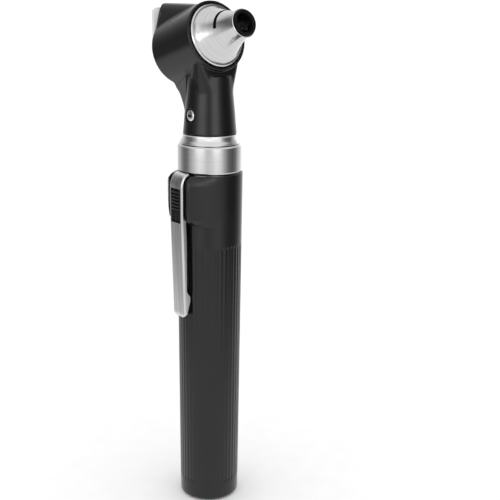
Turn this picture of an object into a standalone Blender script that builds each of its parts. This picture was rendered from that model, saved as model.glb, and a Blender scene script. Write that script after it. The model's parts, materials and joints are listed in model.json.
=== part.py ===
"""Pocket otoscope: battery handle, screw-on head, swivelling magnifier and specula cone.

Lengths are in millimetres and MM turns them into metres. +Z runs up the handle, and the origin
is the centre of its flat base. The clip, switch and neck screw are on the -X side, and the sight
axis looks towards -Y, tilted up.
"""
import math

import bmesh
import bpy
from mathutils import Matrix, Vector

MM = 0.001
GAP = 0.3                      # clearance between pieces that touch
EPS = 0.05                     # how far a cutter overshoots a face

# handle
SLEEVE_TOP = 105.9
SLEEVE_R_TOP = 10.0
SLEEVE_R_BASE = 9.3
BASE_ROUND = 1.0
FLOOR = 2.5
BORE_R = 7.5
SEAT_R = 8.75                  # counterbore that holds the collar's skirt
SEAT_Z = 97.4
FLUTES = 42
FLUTE_DEPTH = 0.22
FLUTE_Z = (6.0, 84.0)
STRIP_WIDTH = 3.0
STRIP_THICK = 0.4
STRIP_X = -7.65                # inner face of the return strip
STRIP_TOP = 96.6

# cells (AA)
CELL_R = 7.1
CELL_CAN = 49.2
CELL_NUB = 1.0
CELL_NUB_R = 2.75
LOWER_CELL_Z = 7.9

# clip and switch, on the -X side
CLIP_HALF = 3.05
CLIP_SHEET = 0.4
CLIP_FACE = 12.75              # distance of the clip's face from the handle's axis, at the window
CLIP_SLOPE = 0.0364
CLIP_FLAT_Z = 92.0
CLIP_TOP_Z = 106.5
CLIP_END_Z = 62.0
CLIP_FLANGE_X = 10.95         # inner edge of the clip's side flanges
CLIP_HINGE = (-10.4, 0.0, 105.6)
WINDOW_HALF = 2.35
WINDOW_Z = (91.7, 102.0)
BOSS_HALF = 4.9
RECESS_FACE = 11.3             # floor of the recess that the clip lies in
RECESS_HALF = 4.25
RECESS_SIDE = (2.65, 10.85)    # the deeper sides of the recess, for the flanges
SLIDER_Z = (95.4, 101.6)
POCKET_Z = (92.6, 102.2)        # chamber in the boss that the slider runs in
KNOB_FACE = 13.1
RIBS = 6

# collar and head joint
COLLAR_R = 9.65
COLLAR_Z = (106.2, 114.3)
COLLAR_SKIRT_R = 8.45
COLLAR_SKIRT_Z = 98.0
THREAD_R = 6.15
THREAD_Z = (111.0, 114.6)
LEDGE_Z = 110.6
RING_Z = (114.6, 117.2)
RING_R = (9.1, 7.9)
FERRULE_R = 5.9
FERRULE_TOP = 124.5
LAMP_BORE_R = 3.3
LAMP_STEP_Z = 119.0

# head
TILT = 17.2                    # sight axis above the horizontal, degrees
SIGHT = Vector((0.0, -3.28, 146.0))
BARREL_R = 10.25
BARREL_LENGTH = 19.0
NECK_BASE_Z = 117.5
NECK_WAIST_Z = 129.5
NECK_WAIST_R = 6.93
ROOF_Z = (154.6, 154.85)       # flat top at its front and rear ends
ROOF_Y = (0.9, 24.0)
WEB_HALF = 5.8
CONE_SEAT_R = 8.6
FLANGE_R = 9.15
CONE_WALL = 0.6
CONE_END = 12.8
TIP_R = 3.69
TIP_S = (13.1, 13.5)
LENS_FRONT = -19.3
LENS_THICK = 1.1
PIVOT_H = -7.4
NECK_SCREW_Z = 123.0

FRAME = Matrix.Translation(SIGHT * MM) @ Matrix.Rotation(math.radians(90.0 - TILT), 4, "X")


# ---------------------------------------------------------------- helpers

def sight_point(s, h, w=0.0):
    """World point, in mm, at s along the sight axis, h above it and w towards +X."""
    tilt = math.radians(TILT)
    along = Vector((0.0, -math.cos(tilt), math.sin(tilt)))
    above = Vector((0.0, math.sin(tilt), math.cos(tilt)))
    return SIGHT + along * s + above * h + Vector((w, 0.0, 0.0))


def clear_scene():
    for obj in list(bpy.data.objects):
        bpy.data.objects.remove(obj, do_unlink=True)


def finish(name, bm, material=None, frame=None):
    """Turns bm, in mm, into an object whose faces point out, at frame or at the world origin."""
    bmesh.ops.scale(bm, vec=(MM, MM, MM), verts=bm.verts)
    bmesh.ops.recalc_face_normals(bm, faces=bm.faces)
    mesh = bpy.data.meshes.new(name)
    bm.to_mesh(mesh)
    bm.free()
    obj = bpy.data.objects.new(name, mesh)
    bpy.context.scene.collection.objects.link(obj)
    if frame is not None:
        obj.matrix_world = frame
    if material is not None:
        mesh.materials.append(material)
    bpy.context.view_layer.update()
    return obj


def make_material(name, colour, roughness, metallic=0.0, alpha=1.0):
    material = bpy.data.materials.new(name)
    material.use_nodes = True
    shader = material.node_tree.nodes["Principled BSDF"]
    shader.inputs["Base Color"].default_value = (*colour, 1.0)
    shader.inputs["Roughness"].default_value = roughness
    shader.inputs["Metallic"].default_value = metallic
    shader.inputs["Alpha"].default_value = alpha
    material.diffuse_color = (*colour, alpha)
    return material


def turned(profile, segments=48, closed=False, shape=None):
    """A turned bmesh about Z. profile is (radius, height) points; a closed one is a ring's section.
    shape(step, radius, height) may change a point's radius, where step counts round the ring."""
    bm = bmesh.new()
    rings = []
    for radius, height in profile:
        if radius < 1e-6:
            rings.append([bm.verts.new((0.0, 0.0, height))])
            continue
        ring = []
        for step in range(segments):
            angle = 2.0 * math.pi * step / segments
            r = shape(step, radius, height) if shape else radius
            ring.append(bm.verts.new((r * math.cos(angle), r * math.sin(angle), height)))
        rings.append(ring)
    pairs = list(zip(rings, rings[1:]))
    if closed:
        pairs.append((rings[-1], rings[0]))
    for lower, upper in pairs:
        for step in range(segments):
            after = (step + 1) % segments
            if len(lower) == 1 and len(upper) == 1:
                break
            if len(lower) == 1:
                bm.faces.new((lower[0], upper[after], upper[step]))
            elif len(upper) == 1:
                bm.faces.new((lower[step], lower[after], upper[0]))
            else:
                bm.faces.new((lower[step], lower[after], upper[after], upper[step]))
    return bm


def tube_profile(outer, inner, low, high):
    return [(outer, low), (outer, high), (inner, high), (inner, low)]


def rod_profile(radius, low, high):
    return [(0.0, low), (radius, low), (radius, high), (0.0, high)]


def prism(outline, low, high, axis):
    """A bmesh prism: outline in the two axes left over, in X, Y, Z order, between low and high."""
    order = {"X": (2, 0, 1), "Y": (0, 2, 1), "Z": (0, 1, 2)}[axis]
    bm = bmesh.new()
    ends = []
    for level in (low, high):
        ring = []
        for u, v in outline:
            values = (u, v, level)
            ring.append(bm.verts.new(tuple(values[i] for i in order)))
        ends.append(ring)
    bm.faces.new(ends[0])
    bm.faces.new(list(reversed(ends[1])))
    count = len(outline)
    for i in range(count):
        j = (i + 1) % count
        bm.faces.new((ends[0][i], ends[0][j], ends[1][j], ends[1][i]))
    return bm


def block(low, high):
    outline = [(low[0], low[1]), (high[0], low[1]), (high[0], high[1]), (low[0], high[1])]
    return prism(outline, low[2], high[2], "Z")


def loft(sections):
    """A bmesh through equal-length closed rings of points, with flat ends."""
    bm = bmesh.new()
    rings = [[bm.verts.new(point) for point in ring] for ring in sections]
    count = len(rings[0])
    for lower, upper in zip(rings, rings[1:]):
        for i in range(count):
            j = (i + 1) % count
            bm.faces.new((lower[i], lower[j], upper[j], upper[i]))
    bm.faces.new(list(reversed(rings[0])))
    bm.faces.new(rings[-1])
    return bm


def swept(points, radii, sides):
    """A bmesh tube along points in a plane or in space, with flat ends."""
    sections = []
    side = Vector((1.0, 0.0, 0.0))
    for i, point in enumerate(points):
        before = points[max(i - 1, 0)]
        after = points[min(i + 1, len(points) - 1)]
        along = (after - before).normalized()
        side = (side - along * side.dot(along)).normalized()
        other = along.cross(side)
        ring = []
        for step in range(sides):
            angle = 2.0 * math.pi * step / sides
            ring.append(point + (side * math.cos(angle) + other * math.sin(angle)) * radii[i])
        sections.append(ring)
    return loft(sections)


def coil(radius, wire, low, high, turns, steps_per_turn, sides, taper=0.0):
    """A spring's bmesh about Z, its wire's centre rising from low to high."""
    count = int(turns * steps_per_turn)
    points = []
    for i in range(count + 1):
        t = i / count
        angle = 2.0 * math.pi * turns * t
        r = radius - taper * t
        points.append(Vector((r * math.cos(angle), r * math.sin(angle), low + (high - low) * t)))
    return swept(points, [wire] * len(points), sides)


def combine(obj, tool, operation, solver="EXACT"):
    """Joins, cuts or intersects obj with tool, and removes tool."""
    modifier = obj.modifiers.new("shape", "BOOLEAN")
    modifier.operation = operation
    modifier.solver = solver
    modifier.object = tool
    bpy.context.view_layer.update()
    graph = bpy.context.evaluated_depsgraph_get()
    mesh = bpy.data.meshes.new_from_object(obj.evaluated_get(graph))
    obj.modifiers.clear()
    obj.data = mesh
    bpy.data.objects.remove(tool, do_unlink=True)


def cut(obj, bm, frame=None, solver="EXACT"):
    combine(obj, finish("cutter", bm, frame=frame), "DIFFERENCE", solver)


def join(obj, bm, frame=None):
    combine(obj, finish("addition", bm, frame=frame), "UNION")


def smooth(obj, angle=32.0):
    obj.data.shade_smooth()
    obj.data.set_sharp_from_angle(angle=math.radians(angle))
    return obj


def move_origin(obj, origin):
    """Puts obj's origin at origin, in mm, without moving its surface."""
    shift = Matrix.Translation(Vector(origin) * MM)
    obj.data.transform(shift.inverted() @ obj.matrix_world)
    obj.matrix_world = shift


def turned_part(name, profile, material, segments=48, closed=False, frame=None):
    return smooth(finish(name, turned(profile, segments, closed), material, frame))


# ---------------------------------------------------------------- materials

def materials():
    return {
        "black": make_material("black_plastic", (0.020, 0.020, 0.021), 0.42),
        "switch": make_material("switch_plastic", (0.012, 0.012, 0.013), 0.38),
        "inner": make_material("inner_black", (0.008, 0.008, 0.008), 0.60),
        "satin": make_material("satin_aluminium", (0.78, 0.78, 0.79), 0.28, 1.0),
        "chrome": make_material("polished_steel", (0.82, 0.82, 0.83), 0.14, 1.0),
        "clip": make_material("clip_steel", (0.74, 0.74, 0.75), 0.24, 1.0),
        "brass": make_material("brass_contact", (0.78, 0.60, 0.30), 0.30, 1.0),
        "spring": make_material("spring_steel", (0.62, 0.62, 0.63), 0.26, 1.0),
        "cell": make_material("cell_wrap", (0.30, 0.31, 0.33), 0.35),
        "ceramic": make_material("ceramic_white", (0.80, 0.79, 0.76), 0.45),
        "glass": make_material("lamp_glass", (0.95, 0.96, 0.97), 0.05, 0.0, 0.3),
        "lens": make_material("lens_glass", (0.93, 0.95, 0.96), 0.04, 0.0, 0.35),
        "acrylic": make_material("frosted_acrylic", (0.80, 0.82, 0.83), 0.25, 0.0, 0.6),
        "fibre": make_material("fibre_glass", (0.84, 0.85, 0.82), 0.30),
        "rubber": make_material("seal_rubber", (0.015, 0.015, 0.015), 0.75),
    }


# ---------------------------------------------------------------- handle

def sleeve_radius(height):
    return SLEEVE_R_BASE + (SLEEVE_R_TOP - SLEEVE_R_BASE) * height / SLEEVE_TOP


def fluted(step, radius, height):
    """Every third point of the grip's rings is sunk, which makes a flute between two lands."""
    in_grip = FLUTE_Z[0] < height < FLUTE_Z[1]
    return radius - FLUTE_DEPTH if in_grip and step % 3 == 0 else radius


def boss_ring(height, face, half):
    """Four-cornered ring of the clip's boss: two outer corners and two where it leaves the sleeve."""
    radius = sleeve_radius(height) - GAP
    spread = math.acos(radius / math.hypot(face, half)) + math.atan2(half, face)
    x, y = -radius * math.cos(spread), radius * math.sin(spread)
    return [Vector((-face, half, height)), Vector((x, y, height)),
            Vector((x, -y, height)), Vector((-face, -half, height))]


def handle_sleeve(mats):
    profile = [(0.0, 0.0), (SLEEVE_R_BASE - BASE_ROUND, 0.0), (SLEEVE_R_BASE - 0.3, 0.3),
               (SLEEVE_R_BASE, BASE_ROUND)]
    low, high = FLUTE_Z
    for height in (low - 0.6, low + 0.6, high - 0.8, high + 0.4, SLEEVE_TOP - 0.4):
        profile.append((sleeve_radius(height), height))
    profile += [(SLEEVE_R_TOP - 0.25, SLEEVE_TOP), (0.0, SLEEVE_TOP)]
    sleeve = finish("handle_sleeve", turned(profile, FLUTES * 3, shape=fluted), mats["black"])
    levels = [(91.8, 10.3, 4.1), (92.9, 11.8, BOSS_HALF), (96.0, 12.2, BOSS_HALF), (100.0, 12.5, BOSS_HALF),
              (103.3, 12.5, BOSS_HALF), (104.5, 12.1, BOSS_HALF), (105.4, 11.3, BOSS_HALF), (105.8, 10.4, 4.6)]
    rings = [boss_ring(*level) for level in levels]
    join(sleeve, loft(rings))
    cut(sleeve, turned(rod_profile(BORE_R, FLOOR, SLEEVE_TOP + 1.0), 48))
    cut(sleeve, turned(rod_profile(SEAT_R, SEAT_Z, SLEEVE_TOP + 1.0), 48))
    channel = STRIP_X - STRIP_THICK - GAP
    cut(sleeve, block((channel, -STRIP_WIDTH / 2 - GAP, FLOOR), (0.0, STRIP_WIDTH / 2 + GAP, SEAT_Z + EPS)))
    # recess for the clip, with deeper sides, then the chamber, mouth and slot of the slider
    hood = [(-14.0, 90.0), (-RECESS_FACE, 90.0), (-RECESS_FACE, 102.2), (-9.5, 105.0), (-9.5, 107.0),
            (-14.0, 107.0)]
    cut(sleeve, prism(hood, -RECESS_HALF, RECESS_HALF, "Y"))
    near, deep = RECESS_SIDE
    for low, high in ((-RECESS_HALF + EPS, -near), (near, RECESS_HALF - EPS)):
        cut(sleeve, block((-13.0, low, 90.0 + EPS), (-deep, high, 102.0)))
    low, high = POCKET_Z
    cut(sleeve, block((-10.7, -2.5, low), (-9.9, 2.5, high)))
    cut(sleeve, block((-RECESS_FACE - EPS, -1.9, low + EPS), (-10.6, 1.9, high - EPS)))
    cut(sleeve, block((-10.0, -1.2, 92.9), (-8.2, 1.2, 101.3)))
    return smooth(sleeve, 26.0)


def return_strip(mats):
    """Bent strip from under the spring, up the wall, to the switch."""
    foot = FLOOR + GAP
    outer = STRIP_X - STRIP_THICK
    outline = [(5.0, foot), (outer, foot), (outer, STRIP_TOP), (STRIP_X, STRIP_TOP),
               (STRIP_X, foot + STRIP_THICK), (5.0, foot + STRIP_THICK)]
    finish("return_strip", prism(outline, -STRIP_WIDTH / 2, STRIP_WIDTH / 2, "Y"), mats["brass"])


def cell(name, low, mats):
    can = low + CELL_CAN
    profile = [(0.0, low), (CELL_R - 0.8, low), (CELL_R, low + 0.5), (CELL_R, can - 0.6),
               (CELL_R - 0.5, can), (CELL_NUB_R, can), (CELL_NUB_R, can + CELL_NUB - 0.2),
               (CELL_NUB_R - 0.4, can + CELL_NUB), (0.0, can + CELL_NUB)]
    turned_part(name, profile, mats["cell"], 32)
    return can + CELL_NUB


def handle_inside(mats):
    return_strip(mats)
    wire = 0.35
    low = FLOOR + GAP + STRIP_THICK + GAP + wire
    spring = coil(4.6, wire, low, LOWER_CELL_Z - GAP - wire, 3.0, 14, 6, taper=1.6)
    smooth(finish("battery_spring", spring, mats["spring"]))
    top = cell("battery_lower", LOWER_CELL_Z, mats)
    return cell("battery_upper", top + GAP, mats)


def collar_parts(cell_top, mats):
    low, high = COLLAR_Z
    bore = BORE_R + 0.05
    profile = [(COLLAR_SKIRT_R, COLLAR_SKIRT_Z), (COLLAR_SKIRT_R, low), (COLLAR_R - 0.15, low),
               (COLLAR_R, low + 0.15), (COLLAR_R, high - 0.35), (COLLAR_R - 0.35, high),
               (THREAD_R + GAP, high), (THREAD_R + GAP, LEDGE_Z), (bore, LEDGE_Z), (bore, COLLAR_SKIRT_Z)]
    turned_part("collar", profile, mats["satin"], 48, closed=True)
    floor = cell_top + 0.6
    flange_top = LEDGE_Z - GAP
    cup = [(1.2, floor), (7.2, floor), (7.2, flange_top), (3.8, flange_top), (3.8, 114.2),
           (2.85, 114.2), (2.85, flange_top), (1.2, flange_top)]
    turned_part("contact_insulator", cup, mats["ceramic"], 40, closed=True)
    rivet = [(0.0, cell_top + GAP), (0.9, cell_top + GAP), (0.9, LEDGE_Z), (2.2, LEDGE_Z),
             (2.2, LEDGE_Z + 0.4), (0.0, LEDGE_Z + 0.4)]
    turned_part("contact_rivet", rivet, mats["brass"], 24)
    wire = 0.2
    low = LEDGE_Z + 0.4 + GAP + wire
    spring = coil(1.5, wire, low, 114.1 - GAP - wire, 3.0, 12, 6)
    smooth(finish("plunger_spring", spring, mats["spring"]))
    cap = [(2.55, 111.7), (2.55, 114.7), (1.6, 115.1), (0.0, 115.1), (0.0, 114.1), (2.05, 114.1), (2.05, 111.7)]
    turned_part("contact_plunger", cap, mats["brass"], 32, closed=True)


# ---------------------------------------------------------------- clip and switch

def clip_face(height):
    return CLIP_FACE - max(0.0, CLIP_FLAT_Z - height) * CLIP_SLOPE


def hood_arc(inset, steps=5):
    """The clip's hood, which curves from the face in to the handle's rim."""
    start_z = WINDOW_Z[1] + 0.3
    depth = CLIP_FACE - 10.0
    rise = CLIP_TOP_Z - start_z
    points = []
    for i in range(steps + 1):
        angle = math.pi / 2 * i / steps
        points.append((-(10.0 + (depth - inset) * math.cos(angle)), start_z + (rise - inset) * math.sin(angle)))
    return points


def clip_outline(inset):
    """Side view of the clip's outer surface, from the bottom end up and over the hood."""
    points = [(-(clip_face(CLIP_END_Z) - 0.5), CLIP_END_Z + 0.1 + inset),
              (-(clip_face(CLIP_END_Z) - inset), CLIP_END_Z + 0.9),
              (-(CLIP_FACE - inset), CLIP_FLAT_Z)]
    return points + hood_arc(inset)


def pocket_clip(mats):
    flange = [(-10.2, CLIP_TOP_Z - 0.9), (-11.5, 102.4), (-11.2, 101.6), (-11.2, 92.0), (-CLIP_FLANGE_X, 86.0),
              (-CLIP_FLANGE_X, 70.4), (-10.5, 69.5), (-9.75, 68.6), (-9.6, 67.8), (-9.7, 67.0), (-10.75, 63.5),
              (-11.0, 62.8), (-11.4, CLIP_END_Z + 0.2)]
    outline = clip_outline(0.0) + flange
    clip = finish("pocket_clip", prism(outline, -CLIP_HALF, CLIP_HALF, "Y"), mats["clip"])
    rounding = clip.modifiers.new("bend", "BEVEL")
    rounding.width = 0.55 * MM
    rounding.segments = 2
    rounding.limit_method = "ANGLE"
    rounding.angle_limit = math.radians(60.0)
    inside = clip_outline(CLIP_SHEET) + [(-8.0, CLIP_TOP_Z - CLIP_SHEET), (-8.0, CLIP_END_Z + CLIP_SHEET)]
    half = CLIP_HALF - CLIP_SHEET
    cut(clip, prism(inside, -half, half, "Y"))
    cut(clip, block((-14.0, -WINDOW_HALF, WINDOW_Z[0]), (-11.8, WINDOW_HALF, WINDOW_Z[1])))
    move_origin(clip, CLIP_HINGE)
    smooth(clip, 30.0)


def switch_parts(mats):
    low, high = SLIDER_Z
    knob_half = WINDOW_HALF - 0.25
    teeth = [(-11.6, low)]
    pitch = (high - low) / RIBS
    for rib in range(RIBS):
        base = low + rib * pitch
        teeth += [(-KNOB_FACE + 0.45, base + 0.05), (-KNOB_FACE, base + 0.3 * pitch),
                  (-KNOB_FACE, base + 0.7 * pitch), (-KNOB_FACE + 0.45, base + pitch - 0.05)]
    teeth += [(-11.6, high)]
    slider = finish("switch_slider", prism(teeth, -knob_half, knob_half, "Y"), mats["switch"])
    join(slider, block((-11.7, -1.6, low + 0.3), (-10.3, 1.6, high - 0.3)))
    join(slider, block((-10.4, -2.2, low + 0.1), (-10.15, 2.2, high - 0.1)))
    join(slider, block((-10.2, -0.7, 97.6), (-9.6, 0.7, 99.8)))
    join(slider, block((-12.05, -knob_half + 0.03, 92.3), (-11.65, knob_half - 0.03, low + 0.4)))
    move_origin(slider, (-11.3, 0.0, (low + high) / 2))
    smooth(slider, 30.0)
    leaf = [(-9.3, 101.0), (-9.05, 101.0), (-9.05, 97.4), (-8.4, 96.9), (-8.4, 96.5), (-8.7, 96.5),
            (-9.3, 97.2)]
    contact = finish("switch_contact", prism(leaf, -0.85, 0.85, "Y"), mats["brass"])
    move_origin(contact, (-11.3, 0.0, (low + high) / 2))


# ---------------------------------------------------------------- head

def neck_base(mats):
    """Threaded spigot, flared ring and the ferrule inside the neck, in one turned piece."""
    low, high = RING_Z
    profile = [(THREAD_R - 0.3, THREAD_Z[0]), (THREAD_R, THREAD_Z[0] + 0.3), (THREAD_R, low),
               (RING_R[0], low), (RING_R[0], low + 0.7), (RING_R[1] + 0.35, high - 0.7),
               (RING_R[1], high - 0.25), (RING_R[1] - 0.2, high), (FERRULE_R, high),
               (FERRULE_R, FERRULE_TOP), (2.6, FERRULE_TOP), (2.6, LAMP_STEP_Z),
               (LAMP_BORE_R, LAMP_STEP_Z), (LAMP_BORE_R, 115.4), (4.3, 115.4), (4.3, THREAD_Z[0])]
    base = finish("neck_base", turned(profile, 44, closed=True), mats["chrome"])
    hole = turned(rod_profile(1.1, 4.1, 7.0), 16)
    cut(base, hole, Matrix.Translation((0, 0, NECK_SCREW_Z * MM)) @ Matrix.Rotation(-math.pi / 2, 4, "Y"))
    smooth(base, 30.0)


def lamp_parts(mats):
    shell = [(1.9, 116.3), (2.3, 116.5), (2.3, 117.5), (3.0, 117.5), (3.0, 118.7), (2.3, 118.7),
             (2.3, 123.0), (1.9, 123.0)]
    turned_part("lamp_shell", shell, mats["brass"], 32, closed=True)
    disc = [(0.75, 116.4), (1.6, 116.4), (1.6, 117.4), (0.75, 117.4)]
    turned_part("lamp_insulator", disc, mats["ceramic"], 24, closed=True)
    turned_part("lamp_contact", [(0.0, 115.4), (0.35, 115.45), (0.45, 115.7), (0.45, 117.8), (0.0, 117.8)],
                mats["brass"], 16)
    glass = [(1.6, 119.2), (1.6, 126.4), (1.25, 127.5), (0.6, 128.2), (0.0, 128.4), (0.0, 128.0),
             (0.45, 127.9), (0.95, 127.3), (1.25, 126.3), (1.25, 119.2)]
    turned_part("lamp_glass", glass, mats["glass"], 28, closed=True)
    leg, span, top, wire = 120.0, 0.6, 125.6, 0.09
    path = [Vector((-span, 0.0, leg)), Vector((-span, 0.0, top - 0.6)), Vector((-span, 0.0, top))]
    turns = 4
    for i in range(turns * 8 + 1):
        angle = 2.0 * math.pi * i / 8
        x = -span + 0.15 + (2.0 * span - 0.3) * i / (turns * 8)
        path.append(Vector((x, 0.22 * math.sin(angle), top + 0.35 - 0.22 * math.cos(angle))))
    path += [Vector((span, 0.0, top)), Vector((span, 0.0, top - 0.6)), Vector((span, 0.0, leg))]
    finish("lamp_filament", swept(path, [wire] * len(path), 4), mats["spring"])


def barrel_ring(angles, s, radius):
    return [sight_point(s, radius * math.sin(math.radians(a)), radius * math.cos(math.radians(a)))
            for a in angles]


def gusset():
    """Hull from the front of the neck's waist to the underside of the barrel's front rim."""
    bm = bmesh.new()
    for degrees in range(205, 336, 10):
        angle = math.radians(degrees)
        for height, radius in ((NECK_WAIST_Z - 0.4, NECK_WAIST_R - 0.05), (NECK_WAIST_Z + 6.0, 4.6)):
            bm.verts.new((radius * math.cos(angle), radius * math.sin(angle), height))
    for s in (-0.7, -3.0):
        for point in barrel_ring(range(220, 321, 10), s, BARREL_R - 0.12):
            bm.verts.new(point)
    for x in (-WEB_HALF + 0.04, WEB_HALF - 0.04):
        for height in (NECK_WAIST_Z + 0.5, NECK_WAIST_Z + 7.5):
            bm.verts.new((x, 1.5, height))
    bmesh.ops.convex_hull(bm, input=bm.verts)
    loose = [vert for vert in bm.verts if not vert.link_faces]
    bmesh.ops.delete(bm, geom=loose, context="VERTS")
    return bm


def roof():
    """Level-topped block that fills the wedge over the tilted barrel."""
    sections = []
    for y, top in zip(ROOF_Y, ROOF_Z):
        half = [(2.7, top), (3.6, top - 0.3), (4.35, top - 1.1), (5.0, top - 2.1), (8.3, top - 9.3), (8.3, top - 12.0)]
        ring = half + [(-x, z) for x, z in reversed(half)]
        sections.append([Vector((x, y, z)) for x, z in ring])
    return loft(sections)


def neck_profile():
    return [(0.0, NECK_BASE_Z), (8.05, NECK_BASE_Z), (7.48, 124.0), (NECK_WAIST_R, NECK_WAIST_Z),
            (6.7, 133.0), (6.5, 134.5), (0.0, 134.5)]


def head_shell(mats):
    barrel = [(0.0, -BARREL_LENGTH - 1.0), (BARREL_R, -BARREL_LENGTH - 1.0), (BARREL_R, -0.15),
              (BARREL_R - 0.15, 0.0), (0.0, 0.0)]
    head = finish("head_shell", turned(neck_profile(), 48), mats["black"])
    join(head, turned(barrel, 64), FRAME)
    join(head, roof())
    web = [(11.9, 132.6), (10.5, 131.7), (9.28, 130.7), (8.2, 129.85), (7.27, 129.0), (6.5, 127.95),
           (5.92, 126.88), (5.03, 125.13), (4.2, 123.5), (-1.0, 123.5), (-1.0, 138.0), (12.9, 138.0)]
    join(head, prism(web, -WEB_HALF, WEB_HALF, "X"))
    join(head, gusset())
    cut(head, block((-20.0, -30.0, -60.0), (20.0, 30.0, -BARREL_LENGTH)), FRAME)
    # sight bore: the cone's seat, then the tapered chamber up to the window at the rear
    cut(head, turned([(0.0, -4.2), (CONE_SEAT_R, -4.2), (CONE_SEAT_R, -1.5), (FLANGE_R + GAP, -1.5),
                      (FLANGE_R + GAP, 1.0), (0.0, 1.0)], 64), FRAME)
    chamber = []
    for s, centre, radius in ((-BARREL_LENGTH - 1.0, 3.3, 7.0), (-BARREL_LENGTH, 3.2, 7.0), (-3.6, 0.1, 6.7)):
        chamber.append([Vector((radius * math.cos(2 * math.pi * (i + 0.5) / 40),
                                centre + radius * math.sin(2 * math.pi * (i + 0.5) / 40), s)) for i in range(40)])
    cut(head, loft(chamber), FRAME, "MANIFOLD")
    cut(head, turned([(0.0, 117.0), (FERRULE_R + GAP, 117.0), (FERRULE_R + GAP, FERRULE_TOP + GAP),
                      (4.2, FERRULE_TOP + GAP), (4.2, 140.2), (0.0, 140.2)], 40), None, "MANIFOLD")
    side = Matrix.Translation((0, 0, NECK_SCREW_Z * MM)) @ Matrix.Rotation(-math.pi / 2, 4, "Y")
    cut(head, turned([(0.0, 4.0), (1.1, 4.0), (1.1, 6.4), (2.0, 6.4), (2.0, 9.0), (0.0, 9.0)], 24), side, "MANIFOLD")
    pivot = Matrix.Translation(sight_point(0.0, PIVOT_H) * MM) @ Matrix.Rotation(math.radians(90 - TILT), 4, "X")
    cut(head, turned(rod_profile(0.95, -BARREL_LENGTH - 1.0, -BARREL_LENGTH + 4.6), 16), pivot, "MANIFOLD")
    smooth(head, 28.0)


def neck_screw(mats):
    side = Matrix.Translation((0, 0, NECK_SCREW_Z * MM)) @ Matrix.Rotation(-math.pi / 2, 4, "Y")
    profile = [(0.0, 4.4), (0.8, 4.4), (0.8, 6.7), (1.7, 6.7), (1.7, 7.25), (1.4, 7.5), (0.0, 7.55)]
    screw = finish("neck_screw", turned(profile, 24), mats["chrome"], side)
    cut(screw, block((-1.05, -0.22, 7.05), (1.05, 0.22, 9.0)), side)
    cut(screw, block((-0.22, -1.05, 7.05), (0.22, 1.05, 9.0)), side)
    smooth(screw, 30.0)


def cone_outer(s):
    """Outer radius of the speculum cone: a concave flare between its shoulder and its end."""
    t = (s - 0.9) / (CONE_END - 0.9)
    return 4.0 + 4.2 * (1.0 - t) ** 1.75 if t < 1.0 else 4.0


def speculum_cone(mats):
    stations = (0.9, 2.0, 3.3, 5.0, 7.4, 9.8, 12.2)
    outer = [(FLANGE_R, -1.2), (FLANGE_R, 0.35), (FLANGE_R - 0.25, 0.6), (8.55, 0.6), (8.45, 0.75)]
    outer += [(cone_outer(s), s) for s in stations]
    outer += [(4.1, 12.35), (4.1, CONE_END - 0.1), (3.95, CONE_END)]
    inner = [(3.4, CONE_END)] + [(cone_outer(s) - CONE_WALL, s) for s in reversed(stations)]
    inner += [(7.5, 0.0), (7.5, -3.9), (8.3, -3.9), (8.3, -3.3), (7.95, -3.1), (7.95, -2.3), (8.3, -2.1), (8.3, -1.2)]
    cone = finish("speculum_cone", turned(outer + inner, 44, closed=True), mats["satin"], FRAME)
    low, high, half = 3.0, 100.0, 0.36
    steps = 12
    sections = []
    for i in range(steps + 1):
        angle = math.radians(180.0 - (low + (high - low) * i / steps))
        c, sn = math.cos(angle), math.sin(angle)
        ring = []
        for radius, s in ((4.8, 6.3 - half), (7.2, 6.3 - half), (7.2, 6.3 + half), (4.8, 6.3 + half)):
            ring.append(Vector((radius * c, radius * sn, s)))
        sections.append(ring)
    cut(cone, loft(sections), FRAME)
    smooth(cone, 24.0)


def cone_seal(mats):
    ring = []
    for i in range(8):
        angle = 2.0 * math.pi * i / 8
        ring.append((8.27 + 0.25 * math.cos(angle), -2.7 + 0.28 * math.sin(angle)))
    turned_part("cone_seal", ring, mats["rubber"], 36, closed=True, frame=FRAME)


def sight_tube(mats):
    section = [(6.1, -4.6), (6.1, -1.0), (5.8, 0.9), (4.35, 6.3), (3.4, 10.5), (3.05, 12.2), (3.05, TIP_S[0]),
               (TIP_R, TIP_S[0]), (TIP_R, TIP_S[1] - 0.15), (TIP_R - 0.15, TIP_S[1]), (3.05, TIP_S[1]),
               (2.75, TIP_S[1] - 0.6), (2.6, 11.9), (2.85, 10.5), (3.75, 6.3), (5.2, 0.9), (5.6, -1.0), (5.6, -4.6)]
    turned_part("sight_tube", section, mats["inner"], 32, closed=True, frame=FRAME)


def light_guide(mats):
    """Fibre bundle from over the lamp, round the bend and along the floor of the sight tube."""
    stations = [(Vector((0.0, 0.0, 129.0)), 1.5), (Vector((0.0, 0.0, 133.0)), 1.5),
                (Vector((0.0, 0.3, 135.4)), 1.4), (sight_point(-6.9, -7.0), 1.3),
                (sight_point(-6.5, -5.6), 1.25), (sight_point(-5.5, -4.6), 1.15),
                (sight_point(-4.0, -4.15), 1.05), (sight_point(-1.5, -4.0), 1.0),
                (sight_point(0.6, -3.85), 0.95), (sight_point(3.0, -3.4), 0.85),
                (sight_point(6.3, -2.7), 0.65), (sight_point(10.0, -2.05), 0.5),
                (sight_point(13.3, -1.8), 0.42)]
    points = [point for point, radius in stations]
    radii = [radius for point, radius in stations]
    smooth(finish("fibre_bundle", swept(points, radii, 14), mats["fibre"]))
    profile = [(3.9, 129.3), (3.9, 130.3), (2.2, 130.3), (2.2, 133.2), (1.8, 133.2), (1.8, 129.3)]
    turned_part("fibre_ferrule", profile, mats["brass"], 28, closed=True)


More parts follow.
